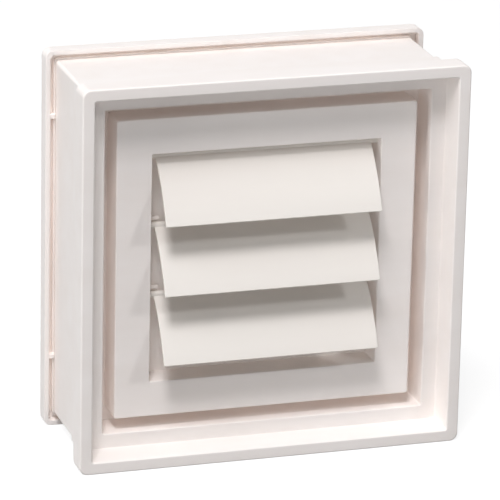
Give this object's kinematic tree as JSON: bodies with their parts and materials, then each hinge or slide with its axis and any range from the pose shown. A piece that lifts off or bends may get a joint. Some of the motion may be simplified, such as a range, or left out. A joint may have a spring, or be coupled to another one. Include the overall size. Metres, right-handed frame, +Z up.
{
  "type": "window dryer vent",
  "caption": "Square white plastic exhaust vent with a stepped recess, a raised louver box with hinged louvers, a mortar channel between two flanges and a round duct collar behind.",
  "frame": {"origin": "middle of the footprint, on the plane that the bottom edges of both flanges stand on", "axes": "+X to the right seen from the louvers, +Y from the rim face to the duct collar, +Z up; the louvers face -Y"},
  "size_m": [0.1968, 0.1048, 0.1969],
  "materials": {
    "frame_plastic": "satin moulded",
    "sleeve_plastic": "satin moulded",
    "box_plastic": "satin moulded",
    "louver_plastic": "satin moulded"
  },
  "bodies": {
    "vent": {"front_frame": "frame_plastic", "sleeve": "sleeve_plastic", "rear_cover": "frame_plastic", "louver_box": "box_plastic", "duct_collar": "sleeve_plastic"},
    "flap_top": {"louver_top": "louver_plastic"},
    "flap_middle": {"louver_middle": "louver_plastic"},
    "flap_bottom": {"louver_bottom": "louver_plastic"}
  },
  "joints": [
    {"name": "flap_top_pivot", "type": "hinge", "parent": "vent", "child": "flap_top", "pos_m": [0, -0.02769, 0.15425], "axis": [-1, 0, 0], "range_deg": [0, 40]},
    {"name": "flap_middle_pivot", "type": "hinge", "parent": "vent", "child": "flap_middle", "pos_m": [0, -0.02769, 0.11843], "axis": [-1, 0, 0], "range_deg": [0, 40]},
    {"name": "flap_bottom_pivot", "type": "hinge", "parent": "vent", "child": "flap_bottom", "pos_m": [0, -0.02769, 0.08262], "axis": [-1, 0, 0], "range_deg": [0, 40]}
  ]
}
